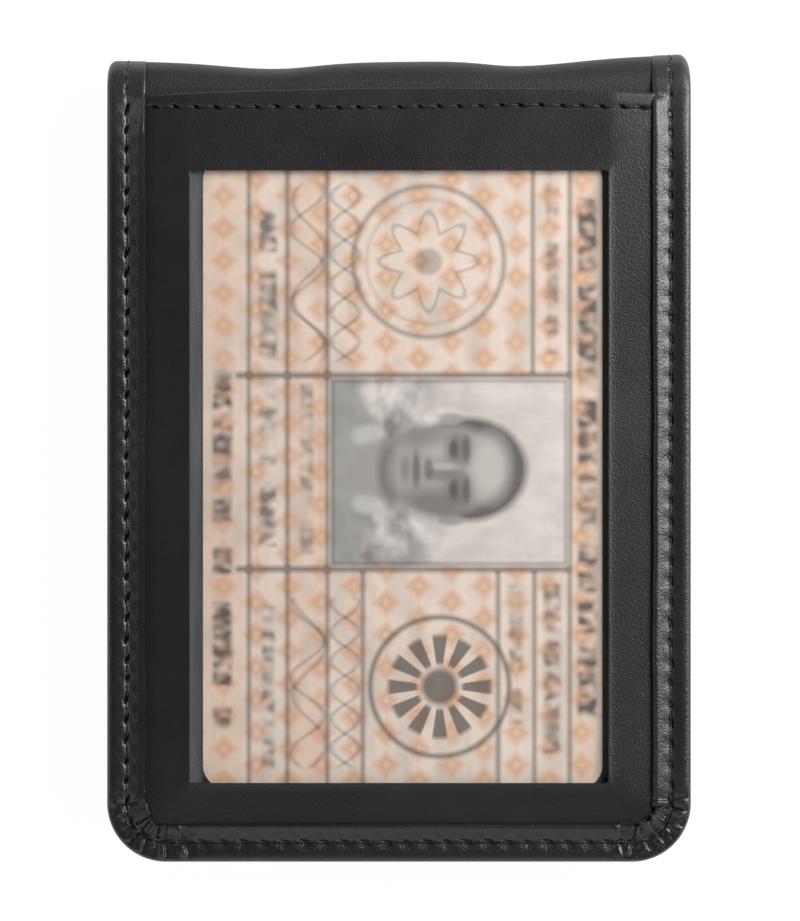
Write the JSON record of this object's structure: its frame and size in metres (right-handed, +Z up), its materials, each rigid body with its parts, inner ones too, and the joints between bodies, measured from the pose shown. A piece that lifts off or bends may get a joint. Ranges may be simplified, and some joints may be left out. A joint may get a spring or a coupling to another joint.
{
  "type": "identity card wallet",
  "caption": "Slim two-leaf leather wallet, folded back on itself, with a clear window over a plastic identity card in a stitched pocket.",
  "frame": {"origin": "middle of the footprint of the folded-back wallet, on the surface that it lies on", "axes": "+X across the wallet, to the right of someone who looks at the window with the fold away from them; +Y along the leaves, towards the fold; +Z up, out of the front window"},
  "size_m": [0.079, 0.109, 0.0113],
  "materials": {
    "outer_leather": "black fine-grained leather, softly shining on its turned edges",
    "panel_leather": "black fine-grained leather, matt",
    "lining_leather": "dark grey split leather, matt",
    "stiffener_board": "grey-brown board",
    "clear_sheet": "clear flexible plastic film",
    "card_plastic": "laminated plastic card with a pale peach print",
    "thread": "black waxed thread"
  },
  "bodies": {
    "spine": {"spine_shell": "outer_leather", "spine_lining": "lining_leather", "spine_edge_thread": "thread"},
    "front_leaf": {"front_shell": "outer_leather", "front_stiffener": "stiffener_board", "front_lining": "lining_leather", "front_window_sheet": "clear_sheet", "front_window_panel": "panel_leather", "front_edge_thread": "thread", "front_hem_thread": "thread"},
    "back_leaf": {"back_shell": "outer_leather", "back_stiffener": "stiffener_board", "back_lining": "lining_leather", "back_window_sheet": "clear_sheet", "back_window_panel": "panel_leather", "back_edge_thread": "thread", "back_hem_thread": "thread"},
    "id_card": {"id_card": "card_plastic"}
  },
  "joints": [
    {"name": "front_fold", "type": "hinge", "parent": "spine", "child": "front_leaf", "pos_m": [0, 0.0531, 0.00863], "axis": [-1, 0, 0], "range_deg": [0, 179.5], "deforming": ["spine_shell", "spine_lining", "spine_edge_thread"]},
    {"name": "back_fold", "type": "hinge", "parent": "spine", "child": "back_leaf", "pos_m": [0, 0.0531, 0.00263], "axis": [1, 0, 0], "range_deg": [0, 179.5], "deforming": ["spine_shell", "spine_lining", "spine_edge_thread"]},
    {"name": "card_slide", "type": "slide", "parent": "front_leaf", "child": "id_card", "axis": [0, 1, 0], "range_m": [0, 0.11]}
  ],
  "couplings": [
    {"joint": "back_fold", "follows": "front_fold", "ratio": 1}
  ]
}
